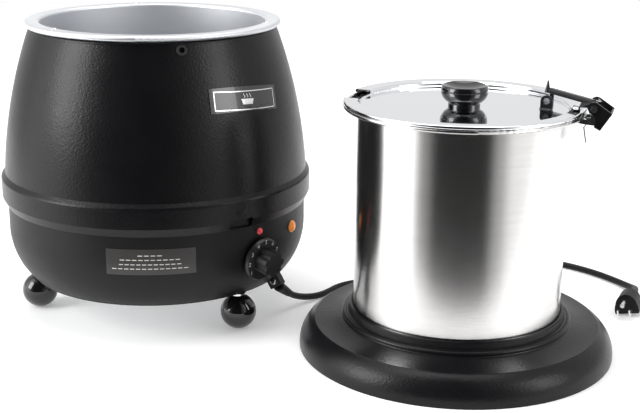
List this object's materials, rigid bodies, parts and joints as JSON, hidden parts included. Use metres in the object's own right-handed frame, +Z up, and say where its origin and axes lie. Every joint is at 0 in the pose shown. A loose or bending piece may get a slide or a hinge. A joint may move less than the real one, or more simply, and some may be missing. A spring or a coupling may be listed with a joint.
{
  "type": "soup kettle",
  "caption": "Electric wet-well soup kettle with round inset pot, hinged lid, adaptor collar, ball feet, thermostat dial, lamps and mains lead.",
  "frame": {"origin": "the kettle's upright axis where it meets the table", "axes": "+Z up; +X from the kettle towards the pot and collar that stand beside it; -Y towards the user's side, where the dial and badge face"},
  "size_m": [0.7202, 0.4547, 0.3201],
  "materials": {
    "hammered_black": "gloss hammer-finish black enamel",
    "satin_black": "satin black enamel",
    "aluminium": "satin spun",
    "steel": "bright plated",
    "zinc": "zinc plated sheet",
    "rubber": "matte black",
    "badge": "black enamel with a silver border",
    "label": "dark printed label",
    "glass_wool": "matted fibre",
    "element_steel": "heat-dulled sheath",
    "bakelite": "moulded gloss black",
    "red_lens": "translucent red",
    "amber_lens": "translucent amber",
    "nylon": "natural nylon",
    "knob_plastic": "satin black with white numerals",
    "copper": "drawn copper",
    "lead_brown": "silicone sleeve",
    "lead_blue": "silicone sleeve",
    "lead_green": "silicone sleeve",
    "cord_rubber": "black cord jacket",
    "brushed_pot": "brushed stainless",
    "mirror_steel": "polished stainless",
    "clip_black": "black coated strap"
  },
  "bodies": {
    "kettle": {"upper_shell": "hammered_black", "lower_bowl": "satin_black", "water_well": "aluminium", "well_screws": "steel", "vent_grommet": "rubber", "base_plate": "zinc", "base_screws": "steel", "badge_plate": "badge", "rating_plate": "label", "insulation_blanket": "glass_wool", "heating_element": "element_steel", "element_clamp": "zinc", "clamp_stud": "steel", "clamp_nut": "steel", "foot_1": "bakelite", "foot_2": "bakelite", "foot_3": "bakelite", "foot_washers": "steel", "foot_studs": "steel", "foot_nuts": "steel", "red_lamp_lens": "red_lens", "red_lamp_body": "nylon", "amber_lamp_lens": "amber_lens", "amber_lamp_body": "nylon", "thermostat_body": "nylon", "thermostat_bracket": "zinc", "sensing_bulb": "copper", "capillary_tube": "copper", "terminal_block": "nylon", "live_lead": "lead_brown", "neutral_lead": "lead_blue", "element_lead": "lead_brown", "earth_lead": "lead_green", "earth_stud": "steel", "strain_relief": "rubber", "gland_screw": "steel", "cord_from_kettle": "cord_rubber", "cord_to_plug": "cord_rubber", "cord_coil": "cord_rubber", "plug_body": "cord_rubber", "plug_blades": "steel", "plug_ground_pin": "steel"},
    "dial": {"dial_knob": "knob_plastic", "thermostat_shaft": "steel"},
    "pot": {"pot_body": "brushed_pot", "hinge_clip": "clip_black", "rim_hook": "mirror_steel", "hinge_pins": "steel", "hook_rivets": "steel"},
    "lid": {"lid_pan": "mirror_steel", "lid_knob": "bakelite", "knob_washer": "steel", "knob_screw": "steel", "lid_lugs": "mirror_steel", "lid_bar": "clip_black", "lid_ear": "clip_black", "ear_rivet": "steel", "ear_tab": "steel", "foot_rivet": "steel"},
    "collar": {"collar_ring": "hammered_black"}
  },
  "joints": [
    {"name": "thermostat_dial", "type": "hinge", "parent": "kettle", "child": "dial", "pos_m": [0.12257, -0.1073, 0.084], "axis": [0.7451, -0.6523, -0.1392], "range_deg": [0, 300]},
    {"name": "pot_lift", "type": "slide", "parent": "kettle", "child": "pot", "axis": [0, 0, 1], "range_m": [0, 0.3]},
    {"name": "collar_lift", "type": "slide", "parent": "kettle", "child": "collar", "axis": [0, 0, 1], "range_m": [0, 0.17]},
    {"name": "lid_hinge", "type": "hinge", "parent": "pot", "child": "lid", "pos_m": [0.4506, -0.15669, 0.2615], "axis": [0.2605, 0.9655, 0], "range_deg": [0, 100]}
  ]
}
